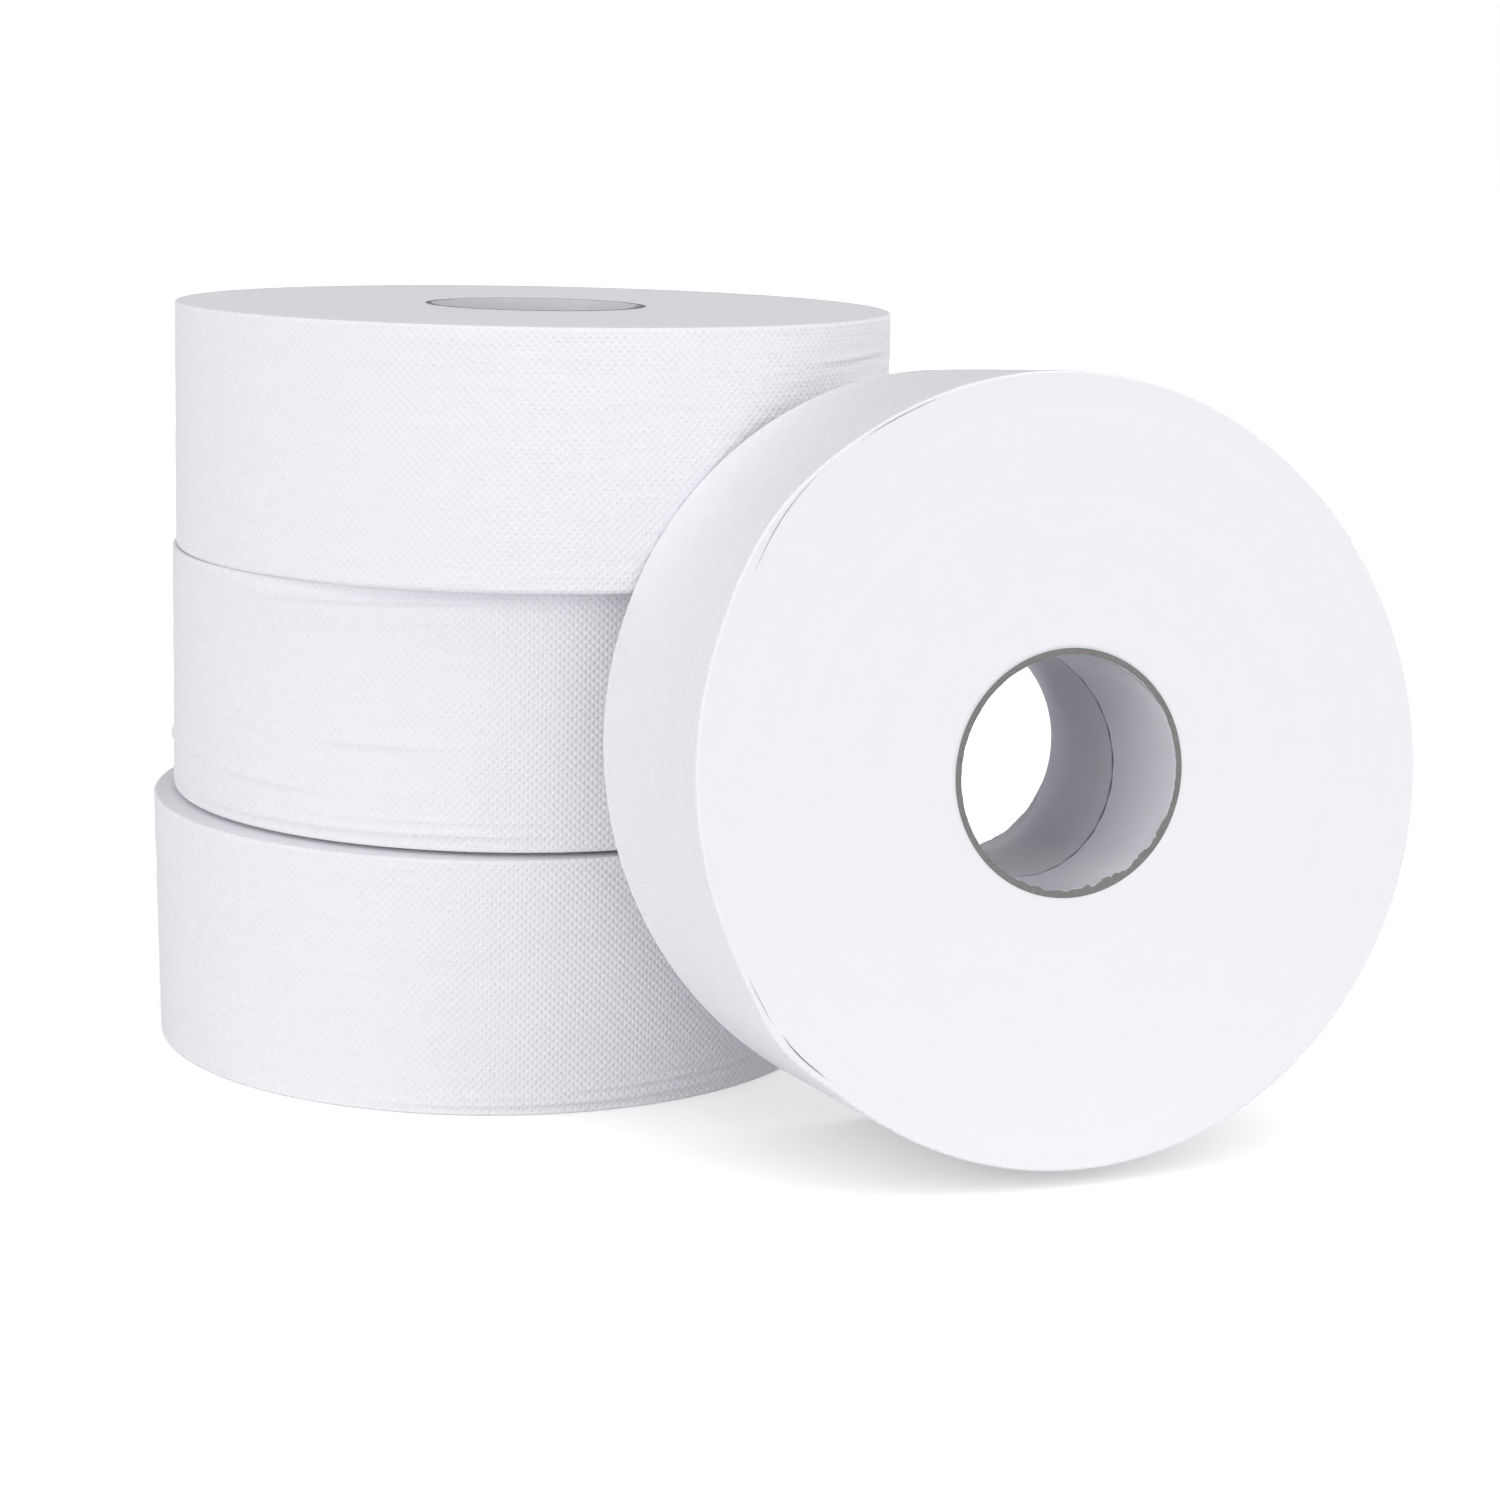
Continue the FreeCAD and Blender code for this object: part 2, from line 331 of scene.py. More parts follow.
def unevenness(tree, vector, detail=2.0):
    """Smooth noise from 0 to 1 at a vector, the same on every run."""
    node = tree.nodes.new("ShaderNodeTexNoise")
    tree.links.new(vector.socket, node.inputs["Vector"])
    node.inputs["Scale"].default_value = 1.0
    node.inputs["Detail"].default_value = detail
    return Formula(tree, node.outputs[0])


class Lathe:
    """Patches of a ring-shaped piece in a Geometry Nodes tree: each is a grid that goes once
    round the axis, and from one edge to the other of its part of the section."""

    def __init__(self, tree, columns):
        self.tree = tree
        self.columns = columns
        self.patches = []
        position = tree.nodes.new("GeometryNodeInputPosition")
        parts = tree.nodes.new("ShaderNodeSeparateXYZ")
        tree.links.new(position.outputs[0], parts.inputs[0])
        self.round = Formula(tree, parts.outputs[0]) + 0.5
        self.across = Formula(tree, parts.outputs[1]) + 0.5

    def patch(self, rows, radius, angle, height, marks, is_cut=False):
        """marks are the named values that the patch keeps for its material, and is_cut says
        that it is a cut face."""
        tree = self.tree
        grid = tree.nodes.new("GeometryNodeMeshGrid")
        grid.inputs["Size X"].default_value = 1.0
        grid.inputs["Size Y"].default_value = 1.0
        tree.links.new((self.columns + 1.0).socket, grid.inputs["Vertices X"])
        if isinstance(rows, Formula):
            tree.links.new((rows + 1.0).socket, grid.inputs["Vertices Y"])
        else:
            grid.inputs["Vertices Y"].default_value = rows + 1
        geometry = grid.outputs["Mesh"]
        for name, domain, value in marks:
            store = tree.nodes.new("GeometryNodeStoreNamedAttribute")
            store.data_type = "FLOAT2" if domain == "CORNER" else "FLOAT_VECTOR"
            store.domain = domain
            store.inputs["Name"].default_value = name
            tree.links.new(geometry, store.inputs["Geometry"])
            tree.links.new(value.socket, store.inputs["Value"])
            geometry = store.outputs["Geometry"]
        kind = tree.nodes.new("GeometryNodeStoreNamedAttribute")
        kind.data_type = "BOOLEAN"
        kind.domain = "FACE"
        kind.inputs["Name"].default_value = "is_cut"
        kind.inputs["Value"].default_value = is_cut
        tree.links.new(geometry, kind.inputs["Geometry"])
        place = tree.nodes.new("GeometryNodeSetPosition")
        point = ring_place(tree, angle, radius, height)
        tree.links.new(kind.outputs["Geometry"], place.inputs["Geometry"])
        tree.links.new(point.socket, place.inputs["Position"])
        self.patches.append(place.outputs["Geometry"])

    def close(self, skin, cut):
        """Join the patches along their edges into one closed skin, and give it its materials."""
        tree = self.tree
        join = tree.nodes.new("GeometryNodeJoinGeometry")
        for geometry in self.patches:
            tree.links.new(geometry, join.inputs["Geometry"])
        merge = tree.nodes.new("GeometryNodeMergeByDistance")
        merge.inputs["Distance"].default_value = WELD
        smooth = tree.nodes.new("GeometryNodeSetShadeSmooth")
        realize = tree.nodes.new("GeometryNodeRealizeInstances")
        whole = tree.nodes.new("GeometryNodeSetMaterial")
        tree.links.new(skin.socket, whole.inputs["Material"])
        is_cut = tree.nodes.new("GeometryNodeInputNamedAttribute")
        is_cut.data_type = "BOOLEAN"
        is_cut.inputs["Name"].default_value = "is_cut"
        part = tree.nodes.new("GeometryNodeSetMaterial")
        tree.links.new(cut.socket, part.inputs["Material"])
        tree.links.new(is_cut.outputs["Attribute"], part.inputs["Selection"])
        given = tree.nodes.new("NodeGroupOutput")
        chain = (join, merge, smooth, realize, whole, part, given)
        for first, second in zip(chain, chain[1:]):
            tree.links.new(first.outputs[0], second.inputs[0])


def spiral_tube_tree():
    """A cardboard tube whose columns follow the helix of its inner ply's seam."""
    tree, size = new_tree("spiral_tube", "GeometryNodeTree", (
        ("Geometry", "Geometry", None),
        ("Length", "Float", 0.09),
        ("Bore", "Float", CORE_BORE),
        ("Wall", "Float", CORE_WALL),
        ("Pitch", "Float", SEAM_PITCH),
        ("Seam At", "Float", 0.0),
        ("Seam Width", "Float", SEAM_WIDTH),
        ("Seam Depth", "Float", SEAM_DEPTH),
        ("Seam Shut", "Float", 0.0),
        ("Burr", "Float", BURR_REACH),
        ("Burr At", "Float", 0.0),
        ("Burr Span", "Float", 1.0),
        ("Seed", "Float", 0.0),
        ("Columns", "Int", 320),
        ("Rows", "Int", 90),
        ("Liner", "Material", None),
        ("Cut", "Material", None),
    ), (("Geometry", "Geometry"),))
    lathe = Lathe(tree, size["Columns"])
    bore, wall, length = size["Bore"], size["Wall"], size["Length"]

    swing = math.tau * (lathe.round - 0.5)
    gathered = swing - COLUMNS_TO_SEAM * swing.math("SINE")

    def angle_at(height):
        return size["Seam At"] - math.tau * (height / size["Pitch"]) + gathered

    def burr_at(height):
        angle = angle_at(height)
        ragged = unevenness(tree, ring_place(tree, angle, TEETH_ROUND, size["Seed"]), 3.0)
        teeth = (5.5 * ragged - 2.4).between(0.0, 1.0)
        near = ((angle - size["Burr At"]).wrapped() / size["Burr Span"]).hill()
        there = BURR_EVERYWHERE + (1.0 - BURR_EVERYWHERE) * near
        this_end = BURR_AT_FOOT + (1.0 - BURR_AT_FOOT) * (height / length)
        return size["Burr"] * there * teeth * this_end

    around = math.tau * bore
    steepness = size["Pitch"] / (size["Pitch"] * size["Pitch"] + around * around).math("SQRT")
    seam_away = gathered * bore * steepness / size["Seam Width"]

    ends = lathe.across
    gathered_rows = ends - ROWS_TO_MOUTHS * (math.tau * ends).math("SINE")
    down = length * (1.0 - gathered_rows)
    from_end = down.math("MINIMUM", length - down)

    def opened(height):
        """How far the seam gapes at a height: it is glued shut at the tube's foot."""
        return ((height - size["Seam Shut"]) / SHUTTING_LENGTH).between(0.0, 1.0)

    groove = size["Seam Depth"] * seam_away.hill() * opened(down)
    curl = (1.0 - from_end / BURR_LENGTH).between(0.0, 1.0)
    inner = bore + groove - burr_at(down) * curl * curl
    in_bore = join_xyz(tree, gathered, opened(down), seam_away)
    mouth = join_xyz(tree, from_end, 0.0, 0.0)
    marks = (("board", "POINT", in_bore), ("mouth", "POINT", mouth))
    lathe.patch(size["Rows"], inner, angle_at(down), down, marks)
    outside_height = length * ends
    marks = (("board", "POINT", join_xyz(tree, gathered, 0.0, seam_away)),
             ("mouth", "POINT", join_xyz(tree, bore, 0.0, 0.0)))
    lathe.patch(size["Rows"] / 2.0, bore + wall, angle_at(outside_height), outside_height, marks)

    for top in (True, False):
        height = length if top else fixed(tree, 0.0)
        edge = bore + size["Seam Depth"] * seam_away.hill() * opened(height) - burr_at(height)
        share = 1.0 - ends if top else ends
        radius = edge + (bore + wall - edge) * share
        angle = angle_at(height)
        on_cut = ring_place(tree, angle, MARK_RADIUS, radius)
        lathe.patch(4, radius, angle, height, (("turns", "POINT", on_cut),), True)
    lathe.close(size["Liner"], size["Cut"])
    return tree


def drop_empty_slots(mesh):
    """Keep only the material slots that hold a material."""
    filled = [i for i, material in enumerate(mesh.materials) if material]
    kept = [mesh.materials[i] for i in filled]
    used = np.zeros(len(mesh.polygons), dtype=np.int32)
    mesh.polygons.foreach_get("material_index", used)
    mesh.materials.clear()
    for material in kept:
        mesh.materials.append(material)
    mesh.polygons.foreach_set("material_index", np.searchsorted(filled, used).astype(np.int32))


def made_mesh(name, tree, sizes):
    """The plain mesh that a Geometry Nodes tree makes with these sizes."""
    maker = bpy.data.objects.new(name, bpy.data.meshes.new(name + "_start"))
    scene.collection.objects.link(maker)
    modifier = maker.modifiers.new("make", "NODES")
    modifier.node_group = tree
    sockets = [item for item in tree.interface.items_tree if item.in_out == "INPUT"]
    named = {item.name: item.identifier for item in sockets}
    for label, value in sizes.items():
        modifier[named[label]] = value
    bpy.context.view_layer.update()
    ready = maker.evaluated_get(bpy.context.evaluated_depsgraph_get())
    mesh = bpy.data.meshes.new_from_object(ready)
    mesh.name = name
    bpy.data.objects.remove(maker)
    drop_empty_slots(mesh)
    return mesh


def finished_piece(name, mesh, place, node):
    """Put a mesh in its place as the piece that stands for a CAD node."""
    mesh.transform(place)
    piece = bpy.data.objects.new(name, mesh)
    scene.collection.objects.link(piece)
    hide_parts(node)
    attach(piece, "root")


def fibre_group():
    """Shader group: the cloudy look and felted grain that every paper here has."""
    tree, given = new_tree("paper_fibre", "ShaderNodeTree", (
        ("Vector", "Vector", None),
        ("Cloud Size", "Float", 0.006),
        ("Grain Size", "Float", 0.0005),
    ), (("Cloud", "Float"), ("Grain", "Float")))
    for label, size in (("Cloud", "Cloud Size"), ("Grain", "Grain Size")):
        node = tree.nodes.new("ShaderNodeTexNoise")
        tree.links.new(given["Vector"].socket, node.inputs["Vector"])
        tree.links.new(given[size].math("POWER", -1.0).socket, node.inputs["Scale"])
        node.inputs["Detail"].default_value = 4.0
        node.inputs["Roughness"].default_value = 0.6
        output = tree.nodes.get("Group Output") or tree.nodes.new("NodeGroupOutput")
        tree.links.new(node.outputs[0], output.inputs[label])
    return tree


PAPER_FIBRE = fibre_group()


class Finish:
    """A paper material in the making: its Principled shader, and formulas that feed it."""

    def __init__(self, name, roughness, specular):
        self.material = bpy.data.materials.new(name)
        self.material.use_nodes = True
        self.tree = self.material.node_tree
        self.shader = self.tree.nodes["Principled BSDF"]
        self.shader.inputs["Roughness"].default_value = roughness
        self.shader.inputs["Specular IOR Level"].default_value = specular

    def attribute(self, name):
        node = self.tree.nodes.new("ShaderNodeAttribute")
        node.attribute_name = name
        return Formula(self.tree, node.outputs["Vector"])

    def object_place(self):
        node = self.tree.nodes.new("ShaderNodeTexCoord")
        return Formula(self.tree, node.outputs["Object"])

    def fibre(self, cloud_size, grain_size):
        node = self.tree.nodes.new("ShaderNodeGroup")
        node.node_tree = PAPER_FIBRE
        self.tree.links.new(self.object_place().socket, node.inputs["Vector"])
        node.inputs["Cloud Size"].default_value = cloud_size
        node.inputs["Grain Size"].default_value = grain_size
        return Formula(self.tree, node.outputs["Cloud"]), Formula(self.tree, node.outputs["Grain"])

    def colour(self, light, *shades):
        """Colour the surface light, then mix in each shade by its share from 0 to 1."""
        mixed = None
        for shade, share in zip(shades[::2], shades[1::2]):
            mix = self.tree.nodes.new("ShaderNodeMix")
            mix.data_type = "RGBA"
            mix.inputs[7].default_value = shade
            self.tree.links.new(share.socket, mix.inputs[0])
            if mixed:
                self.tree.links.new(mixed, mix.inputs[6])
            else:
                mix.inputs[6].default_value = light
            mixed = mix.outputs[2]
        self.tree.links.new(mixed, self.shader.inputs["Base Color"])

    def relief(self, height, depth):
        bump = self.tree.nodes.new("ShaderNodeBump")
        bump.inputs["Strength"].default_value = 1.0
        bump.inputs["Distance"].default_value = depth
        self.tree.links.new(height.socket, bump.inputs["Height"])
        self.tree.links.new(bump.outputs[0], self.shader.inputs["Normal"])


def split_vector(finish, vector):
    node = finish.tree.nodes.new("ShaderNodeSeparateXYZ")
    finish.tree.links.new(vector.socket, node.inputs[0])
    return [Formula(finish.tree, socket) for socket in node.outputs]


def liner_finish():
    """Smooth grey liner paper of the tube, with a dark line along its open seam."""
    finish = Finish("core_liner", 0.28, 0.45)
    cloud, grain = finish.fibre(0.009, 0.0007)
    round_strip, gape, seam_away = split_vector(finish, finish.attribute("board"))
    # Each strip of liner between turns of the seam is painted darker towards one side, a painted
    # shade; cloud and grain add the board's own mottling.
    strip_shade_ramp = (round_strip / math.tau).math("FRACT")
    share = (0.20 * cloud + 0.12 * grain + 0.35 * strip_shade_ramp).between(0.0, 1.0)
    seam = gape * seam_away.hill()
    from_end = split_vector(finish, finish.attribute("mouth"))[0]
    # Beside the open seam a thin band is painted lighter, a painted highlight where the ply's step
    # would catch light; a band just inside each mouth is painted lighter too.
    painted_seam_highlight = 0.6 * gape * (seam_away - SEAM_HIGHLIGHT_AT).hill()
    seam_highlight_and_mouth = painted_seam_highlight + 0.45 * (from_end / MOUTH_EDGE).hill()
    finish.colour(LINER_COLOUR, BOARD_DARK_AND_SHADE, share, SEAM_COLOUR, seam, PALE_BANDS_COLOUR, seam_highlight_and_mouth)
    finish.relief(0.5 * cloud + 0.5 * grain, 0.0001)
    return finish.material


def cut_board_finish():
    """The sawn edge of the tube: darker recycled board with its plies on edge."""
    finish = Finish("core_cut", 0.95, 0.15)
    cloud, grain = finish.fibre(0.0025, 0.0004)
    radius = split_vector(finish, finish.attribute("turns"))[2]
    ply = (math.tau * PLIES_PER_METRE * radius).math("SINE")
    share = (1.1 * grain + 0.5 * cloud + 0.1 * ply - 0.35).between(0.0, 1.0)
    finish.colour(CUT_COLOUR, CUT_SHADE, share)
    finish.relief(grain, 0.0004)
    return finish.material


CORE_LINER = liner_finish()
CORE_CUT = cut_board_finish()
SPIRAL_TUBE = spiral_tube_tree()


def core(name, place, seam_deg, burr_deg=0.0, burr_span_deg=60.0, shut=0.0, seed=0.0):
    """One roll's tube, as long as its CAD node."""
    mesh = made_mesh(name, SPIRAL_TUBE, {
        "Length": CORE_LENGTHS[name],
        "Seam At": math.radians(seam_deg),
        "Burr At": math.radians(burr_deg),
        "Burr Span": math.radians(burr_span_deg),
        "Seam Shut": shut,
        "Seed": seed,
        "Liner": CORE_LINER,
        "Cut": CORE_CUT,
    })
    mesh.set_sharp_from_angle(angle=SHARP_EDGE)
    finished_piece(name.replace("_roll", "") + "_tube", mesh, place, name)


def lying_place(node):
    """Where a lying roll's axis meets its lower face, from its core in the CAD model."""
    low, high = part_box(node)
    middle = (low + high) / 2
    return Matrix.Translation((middle.x, middle.y, low.z))


STANDING_WIDTH = 0.0900
STANDING_TURN = math.radians(17.7)
STANDING_LEAN = math.radians(4.5)


def standing_place(node):
    """The standing roll's own frame: X to the right on its face, Z out of its front face."""
    low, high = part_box(node)
    right = Vector((math.cos(STANDING_TURN), math.sin(STANDING_TURN), 0.0))
    forward = Vector((math.sin(STANDING_TURN), -math.cos(STANDING_TURN), 0.0))
    front = forward * math.cos(STANDING_LEAN) + Vector((0.0, 0.0, math.sin(STANDING_LEAN)))
    base = (low + high) / 2 - front * STANDING_WIDTH / 2
    turned = Matrix((right, front.cross(right), front)).transposed().to_4x4()
    return Matrix.Translation(base) @ turned


CORE_LENGTHS = {"standing_roll_core": STANDING_WIDTH}
for lying in ("bottom_roll_core", "middle_roll_core", "top_roll_core"):
    low_corner, high_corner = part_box(lying)
    CORE_LENGTHS[lying] = high_corner.z - low_corner.z
core("bottom_roll_core", lying_place("bottom_roll_core"), 200.0, seed=1.0)
core("middle_roll_core", lying_place("middle_roll_core"), 90.0, seed=2.0)
core("top_roll_core", lying_place("top_roll_core"), 310.0, -100.0, 50.0, seed=3.0)
core("standing_roll_core", standing_place("standing_roll_core"), 343.5, -68.0, 42.0,
     shut=0.022, seed=4.0)


# The wound tissue: soft two-ply paper, embossed with rows of small dots, wound some hundreds
# of turns deep on its core and cut to width from a long log. The side shows the outermost
# turn, which ends in a low step, and the cut faces show the turns on edge.
RIM_ROUND = 0.0009
SHEET_STEP = 0.0004
SHEET_END_SHARE = 0.0002
RING_SHARES = (0.2, 0.56, 0.87)
RING_DEPTH = 0.00014
RING_WIDTH = 0.0016
RIM_STRIP = 0.0048
DROOP_REACH = 0.012
STRIP_ROWS = 6
GAPING_STRIP_ROWS = 36
ROWS_TO_RIMS = 0.115
SOFT_PER_METRE = 22.0
BANDS_PER_METRE = 210.0
FOLDS_PER_METRE = 900.0
GROUPS_PER_METRE = 60.0
TURNS_PER_METRE = 420.0
BULGE_FROM = 0.6
FOLD_REACH = 0.004
FOLD_LINE = 0.009
FOLD_LINE_REACH = 0.006
RIM_HIGHLIGHT_REACH = 0.0014
TISSUE_COLOUR = (0.90, 0.905, 0.93, 1.0)
TISSUE_MOTTLE_AND_PIT_SHADE = (0.80, 0.805, 0.84, 1.0)
EDGE_COLOUR = (0.87, 0.87, 0.90, 1.0)
EDGE_SHADE = (0.76, 0.76, 0.80, 1.0)
DOT_PITCH = 0.00207
WRINKLES_ALONG = 45.0
WRINKLES_UP = 320.0
FINE_PER_METRE = 1500.0
BROAD_PER_METRE = 260.0
RIM_HIGHLIGHT_COLOUR = (0.97, 0.97, 0.985, 1.0)


def wound_roll_tree(name, bulges, loose_gaps):
    """A roll of wound tissue. Near its upper face the outermost turns may stand out in bulges,
    each a middle angle, a half span in degrees and a rise, and gape: a gap has its first and
    last angle, its distance from the rim at both, its width and its depth."""
    tree, size = new_tree(name, "GeometryNodeTree", (
        ("Geometry", "Geometry", None),
        ("Width", "Float", 0.09),
        ("Foot Radius", "Float", 0.127),
        ("Top Radius", "Float", 0.127),
        ("Core Radius", "Float", CORE_BORE + CORE_WALL),
        ("Rim Round", "Float", RIM_ROUND),
        ("Foot Round", "Float", RIM_ROUND),
        ("Sheet End At", "Float", 0.0),
        ("Sheet Step", "Float", SHEET_STEP),
        ("Oval Rise", "Float", 0.0005),
        ("Oval At", "Float", 0.0),
        ("Off Centre", "Float", 0.0),
        ("Off Centre At", "Float", 0.0),
        ("Softness", "Float", 0.0003),
        ("Edge Folds", "Float", 0.0002),
        ("Turn Relief", "Float", 0.00012),
        ("Top Droop", "Float", 0.0),
        ("Foot Droop", "Float", 0.0),
        ("Top Rings", "Float", RING_DEPTH),
        ("Foot Rings", "Float", 0.0),
        ("Seed", "Float", 0.0),
        ("Columns", "Int", 540),
        ("Side Rows", "Int", 150),
        ("Top Rows", "Int", 8),
        ("Foot Rows", "Int", 4),
        ("Side", "Material", None),
        ("Cut", "Material", None),
    ), (("Geometry", "Geometry"),))
    columns, width, seed = size["Columns"], size["Width"], size["Seed"]
    lathe = Lathe(tree, columns)
    closing = (lathe.round * columns).math("GREATER_THAN", columns - 0.5)
    spiral = (lathe.round * columns / (columns - 1.0)) * (1.0 - closing)
    wind = spiral * (1.0 - SHEET_END_SHARE) + closing
    angle = size["Sheet End At"] + math.tau * wind
    bulge = fixed(tree, 0.0)
    for middle_deg, span_deg, rise in bulges:
        away = (angle - math.radians(middle_deg)).wrapped()
        bulge = bulge + rise * (away / math.radians(span_deg)).hill()

    def outline(share, height):
        """The outermost turn's radius at a share of the width."""
        oval = size["Oval Rise"] * (2.0 * (angle - size["Oval At"])).math("COSINE")
        off = size["Off Centre"] * (angle - size["Off Centre At"]).math("COSINE")
        plain = size["Foot Radius"] + (size["Top Radius"] - size["Foot Radius"]) * share
        lifted = bulge * ((share - BULGE_FROM) / (1.0 - BULGE_FROM)).between(0.0, 1.0)
        soft = unevenness(tree, ring_place(tree, angle, 1.7, SOFT_PER_METRE * height + seed))
        bands = unevenness(tree, ring_place(tree, angle, 2.3, BANDS_PER_METRE * height + seed))
        slack = size["Softness"] * (1.3 * (soft - 0.5) + 2.2 * (bands - 0.5))
        return plain + oval + off + lifted - size["Sheet Step"] * spiral + slack

    row = lathe.across
    rows_to_ends = row - ROWS_TO_RIMS * (math.tau * row).math("SINE")
    side_height = width - size["Top Droop"] - size["Foot Droop"]
    height = size["Foot Droop"] + side_height * rows_to_ends
    from_end = side_height * rows_to_ends.math("MINIMUM", 1.0 - rows_to_ends)
    upper = rows_to_ends.math("GREATER_THAN", 0.5)
    nearest_round = size["Foot Round"] + (size["Rim Round"] - size["Foot Round"]) * upper
    into_rim = (1.0 - from_end / nearest_round).between(0.0, 1.0)
    rounding = nearest_round * (1.0 - (1.0 - into_rim * into_rim).math("SQRT"))
    near_edge = (from_end / FOLD_REACH).hill() + 0.8 * ((height - FOLD_LINE) / FOLD_LINE_REACH).hill()
    on_fold = ring_place(tree, angle, 3.2, FOLDS_PER_METRE * height + seed)
    folds = unevenness(tree, on_fold, 1.0)
    creep = size["Edge Folds"] * near_edge * (folds - 0.5) * (1.0 - into_rim)
    side_radius = outline(rows_to_ends, height) - rounding + creep
    on_sheet = join_xyz(tree, math.tau * wind * size["Top Radius"], height, 0.0)
    marks = (("sheet", "CORNER", on_sheet), ("rim", "POINT", join_xyz(tree, from_end, 0.0, 0.0)))
    lathe.patch(size["Side Rows"], side_radius, angle, height, marks)

    def face(top):
        """One cut face, from its rim to the core or back, with its turns standing unevenly."""
        level = width if top else fixed(tree, 0.0)
        rim_round = size["Rim Round"] if top else size["Foot Round"]
        rim = outline(fixed(tree, 1.0 if top else 0.0), level) - rim_round
        strip_end = rim + size["Sheet Step"] * spiral + rim_round - RIM_STRIP
        depth_sign = -1.0 if top else 1.0
        droop = size["Top Droop"] if top else size["Foot Droop"]
        inwards = row if top else 1.0 - row
        rings = size["Top Rings"] if top else size["Foot Rings"]

        def sink(radius, fade):
            """How far the turns at a radius lie below the roll's end."""
            on_turn = ring_place(tree, angle, 1.5, TURNS_PER_METRE * radius + seed)
            on_group = ring_place(tree, angle, 1.1, GROUPS_PER_METRE * radius - seed)
            turns = unevenness(tree, on_turn, 3.0)
            groups = unevenness(tree, on_group, 1.0)
            low = size["Turn Relief"] * (0.7 * turns + 0.9 * groups)
            for part in RING_SHARES:
                middle = CORE_BORE + CORE_WALL + part * (size["Top Radius"] - CORE_BORE - CORE_WALL)
                away = (radius - middle) / (RING_WIDTH / 2)
                low = low + rings * (away * away * away).hill()
            to_rim = (1.0 - (rim - radius) / DROOP_REACH).between(0.0, 1.0)
            return low * fade + droop * to_rim.math("SQRT")

        radius = rim - (rim - strip_end) * inwards
        low = sink(radius, (inwards * 3.0).math("MINIMUM", 1.0))
        if top:
            for start_deg, end_deg, start_inset, end_inset, gap_width, gap_depth in loose_gaps:
                half = math.radians(end_deg - start_deg) / 2
                away = (angle - math.radians((start_deg + end_deg) / 2)).wrapped() / half
                taper = (1.0 - away * away).between(0.0, 1.0)
                middle_inset = (start_inset + end_inset) / 2 + (end_inset - start_inset) / 2 * away
                from_middle = rim + rim_round - middle_inset - radius
                inside = 1.0 - (from_middle / (gap_width / 2)).math("ABSOLUTE")
                low = low + gap_depth * taper * (inside * 1.6).between(0.0, 1.0)
        z = level + depth_sign * low
        on_cut = ring_place(tree, angle, MARK_RADIUS, radius)
        strip_rows = GAPING_STRIP_ROWS if loose_gaps and top else STRIP_ROWS
        lathe.patch(strip_rows, radius, angle, z, (("turns", "POINT", on_cut),), True)

        core_radius = size["Core Radius"]
        radius = strip_end - (strip_end - core_radius) * inwards
        fade = ((1.0 - inwards) * 12.0).math("MINIMUM", 1.0)
        z = level + depth_sign * sink(radius, fade)
        on_cut = ring_place(tree, angle, MARK_RADIUS, radius)
        rows = size["Top Rows"] if top else size["Foot Rows"]
        lathe.patch(rows, radius, angle, z, (("turns", "POINT", on_cut),), True)

    face(True)
    face(False)
    bore_height = width * (1.0 - row)
    marks = (("turns", "POINT", ring_place(tree, angle, MARK_RADIUS, bore_height)),)
    lathe.patch(1, size["Core Radius"], angle, bore_height, marks, True)
    lathe.close(size["Side"], size["Cut"])
    return tree


def embossing_group():
    """Shader group: rows of small round dots pressed into the sheet, on the diagonal."""
    tree, given = new_tree("dot_embossing", "ShaderNodeTree", (
        ("Vector", "Vector", None),
        ("Pitch", "Float", DOT_PITCH),
    ), (("Dots", "Float"),))
    parts = tree.nodes.new("ShaderNodeSeparateXYZ")
    tree.links.new(given["Vector"].socket, parts.inputs[0])
    along, up = Formula(tree, parts.outputs[0]), Formula(tree, parts.outputs[1])
    turn = math.tau / math.sqrt(2.0)
    rising = (turn * (along + up) / given["Pitch"]).math("COSINE")
    falling = (turn * (along - up) / given["Pitch"]).math("COSINE")
    dots = 0.25 * (1.0 + rising) * (1.0 + falling)
    output = tree.nodes.new("NodeGroupOutput")
    tree.links.new(dots.socket, output.inputs["Dots"])
    return tree


DOT_EMBOSSING = embossing_group()


def tissue_side_finish():
    """The outermost turn: soft white embossed tissue."""
    finish = Finish("tissue_side", 0.95, 0.12)
    finish.shader.inputs["Sheen Weight"].default_value = 0.08
    finish.shader.inputs["Sheen Roughness"].default_value = 0.6
    uv = finish.tree.nodes.new("ShaderNodeUVMap")
    uv.uv_map = "sheet"
    dots = finish.tree.nodes.new("ShaderNodeGroup")
    dots.node_tree = DOT_EMBOSSING
    dots.inputs["Pitch"].default_value = DOT_PITCH
    finish.tree.links.new(uv.outputs[0], dots.inputs["Vector"])
    pits = Formula(finish.tree, dots.outputs[0])
    along, up = split_vector(finish, Formula(finish.tree, uv.outputs[0]))[:2]
    stretched = join_xyz(finish.tree, WRINKLES_ALONG * along, WRINKLES_UP * up, 0.0)
    wrinkles = unevenness(finish.tree, stretched, 3.0)
    cloud, grain = finish.fibre(0.012, 0.0008)
    # The embossed pits are painted a little darker, a painted shade in them; cloud and grain are the
    # paper's own mottling.
    share = (0.05 * pits + 0.16 * cloud + 0.08 * grain).between(0.0, 1.0)
    from_rim = split_vector(finish, finish.attribute("rim"))[0]
    # A narrow band by each rim is painted lighter: a painted highlight where the rounded rim would
    # catch light.
    painted_rim_highlight = 0.3 * (from_rim / RIM_HIGHLIGHT_REACH).hill()
    finish.colour(TISSUE_COLOUR, TISSUE_MOTTLE_AND_PIT_SHADE, share, RIM_HIGHLIGHT_COLOUR, painted_rim_highlight)
    finish.relief(0.12 * grain + 1.5 * wrinkles - pits, 0.00027)
    return finish.material


